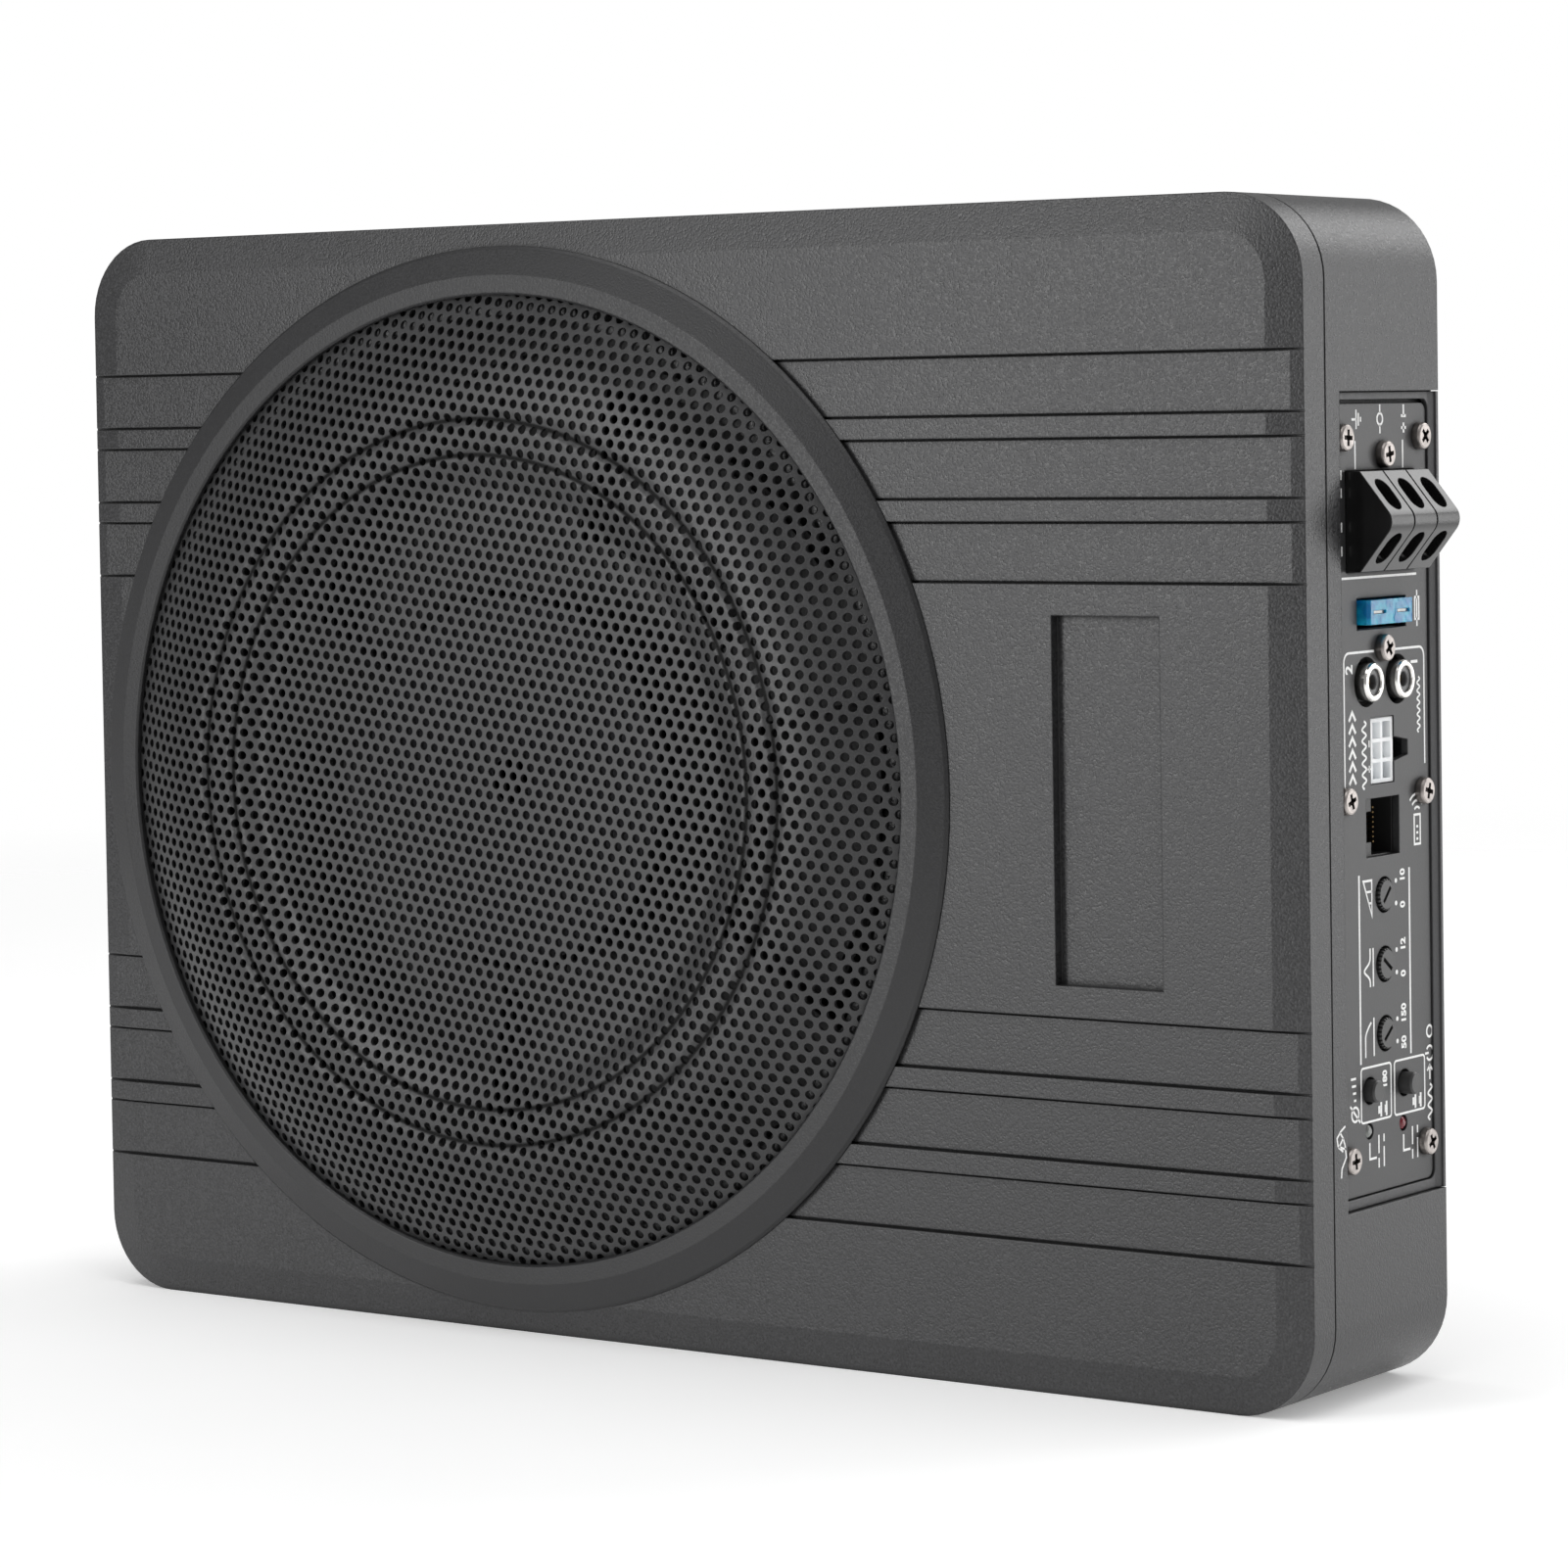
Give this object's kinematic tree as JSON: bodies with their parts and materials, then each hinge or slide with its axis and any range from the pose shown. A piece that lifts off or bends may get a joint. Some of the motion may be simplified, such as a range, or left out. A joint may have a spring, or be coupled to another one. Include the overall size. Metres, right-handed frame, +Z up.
{
  "type": "powered car subwoofer",
  "caption": "Flat powered subwoofer case with a round domed grille over an inverted driver and a side control panel with terminals, fuse, sockets, knobs and buttons.",
  "frame": {"origin": "on the bottom face, midway along the case and midway between its front face and its back", "axes": "+X towards the control panel, -Y out of the grille, +Z up with the case standing on its long side"},
  "size_m": [0.3386, 0.0708, 0.25],
  "materials": {
    "case_paint": "fine satin texture",
    "cover_steel": "satin",
    "foam_gasket": "matte",
    "black_steel": "black oxide",
    "zinc_steel": "plated",
    "foot_rubber": "matte",
    "brass": "plain",
    "ring_plastic": "satin",
    "grille_paint": "satin powder coat",
    "ferrite": "matte",
    "basket_paint": "satin",
    "spider_cloth": "resin treated",
    "cone_paper": "coated",
    "former_aluminium": "plain",
    "copper": "enamelled copper",
    "panel_paint": "satin",
    "nickel_steel": "nickel plated",
    "black_gloss": "gloss",
    "fuse_plastic": "clear tinted",
    "black_plastic": "matte",
    "nickel_chrome": "polished",
    "white_nylon": "satin",
    "knob_plastic": "satin",
    "clear_lamp": "clear",
    "red_lamp": "tinted clear",
    "board_green": "solder mask",
    "capacitor_sleeve": "heat shrink"
  },
  "bodies": {
    "cabinet": {"front_baffle": "case_paint", "housing": "case_paint", "rear_cover": "cover_steel", "case_gasket": "foam_gasket", "case_screws": "black_steel", "rubber_feet": "foot_rubber", "mounting_inserts": "brass", "grille_ring": "ring_plastic", "grille": "grille_paint", "yoke": "black_steel", "magnet": "ferrite", "top_plate": "zinc_steel", "basket": "basket_paint", "driver_gasket": "foam_gasket", "driver_screws": "black_steel", "surround": "foot_rubber", "spider": "spider_cloth", "control_panel": "panel_paint", "panel_screws": "nickel_steel", "terminal_block": "black_gloss", "terminal_clamps": "brass", "fuse_holder": "black_plastic", "fuse_contacts": "brass", "phono_block": "black_plastic", "phono_shells": "nickel_chrome", "phono_insulators": "black_gloss", "phono_sleeves": "brass", "input_header": "white_nylon", "input_pins": "zinc_steel", "remote_jack": "black_plastic", "remote_contacts": "brass", "trimmer_bodies": "black_plastic", "switch_bodies": "black_plastic", "power_lamp": "clear_lamp", "protect_lamp": "red_lamp", "lamp_leads": "zinc_steel", "control_board": "board_green", "amplifier_board": "board_green", "board_standoffs": "zinc_steel", "board_screws": "zinc_steel", "capacitors": "capacitor_sleeve", "inductor_core": "ferrite", "inductor_winding": "copper", "heat_spreader": "former_aluminium", "power_transistors": "black_plastic", "board_link": "black_plastic"},
    "cone_assembly": {"cone": "cone_paper", "dust_cap": "cone_paper", "coil_former": "former_aluminium", "voice_coil": "copper"},
    "gain_knob": {"gain_knob": "knob_plastic"},
    "boost_knob": {"boost_knob": "knob_plastic"},
    "crossover_knob": {"crossover_knob": "knob_plastic"},
    "phase_button": {"phase_button": "knob_plastic"},
    "power_button": {"power_button": "knob_plastic"},
    "fuse": {"fuse_case": "fuse_plastic", "fuse_link": "zinc_steel"},
    "terminal_screw_ground": {"terminal_screw_ground": "black_steel"},
    "terminal_screw_remote": {"terminal_screw_remote": "black_steel"},
    "terminal_screw_supply": {"terminal_screw_supply": "black_steel"}
  },
  "joints": [
    {"name": "cone_stroke", "type": "slide", "parent": "cabinet", "child": "cone_assembly", "axis": [0, 1, 0], "range_m": [-0.004, 0.004], "stiffness_N_per_m": 2500, "deforming": ["surround", "spider"]},
    {"name": "gain_turn", "type": "hinge", "parent": "cabinet", "child": "gain_knob", "pos_m": [0.1632, 0.0062, 0.1048], "axis": [1, 0, 0], "range_deg": [-140, 140]},
    {"name": "boost_turn", "type": "hinge", "parent": "cabinet", "child": "boost_knob", "pos_m": [0.1632, 0.0062, 0.09035], "axis": [1, 0, 0], "range_deg": [-140, 140]},
    {"name": "crossover_turn", "type": "hinge", "parent": "cabinet", "child": "crossover_knob", "pos_m": [0.1632, 0.0062, 0.0759], "axis": [1, 0, 0], "range_deg": [-140, 140]},
    {"name": "phase_press", "type": "slide", "parent": "cabinet", "child": "phase_button", "axis": [-1, 0, 0], "range_m": [-0.0015, 0.0006], "stiffness_N_per_m": 400},
    {"name": "power_press", "type": "slide", "parent": "cabinet", "child": "power_button", "axis": [-1, 0, 0], "range_m": [0, 0.002], "stiffness_N_per_m": 400},
    {"name": "fuse_pull", "type": "slide", "parent": "cabinet", "child": "fuse", "axis": [1, 0, 0], "range_m": [0, 0.02]},
    {"name": "ground_screw_turn", "type": "hinge", "parent": "cabinet", "child": "terminal_screw_ground", "pos_m": [0.16688, -0.0036, 0.18521], "axis": [0.7787, 0, 0.6275], "range_deg": [-180, 180]},
    {"name": "remote_screw_turn", "type": "hinge", "parent": "cabinet", "child": "terminal_screw_remote", "pos_m": [0.16688, 0.0062, 0.18521], "axis": [0.7787, 0, 0.6275], "range_deg": [-180, 180]},
    {"name": "supply_screw_turn", "type": "hinge", "parent": "cabinet", "child": "terminal_screw_supply", "pos_m": [0.16688, 0.016, 0.18521], "axis": [0.7787, 0, 0.6275], "range_deg": [-180, 180]}
  ]
}
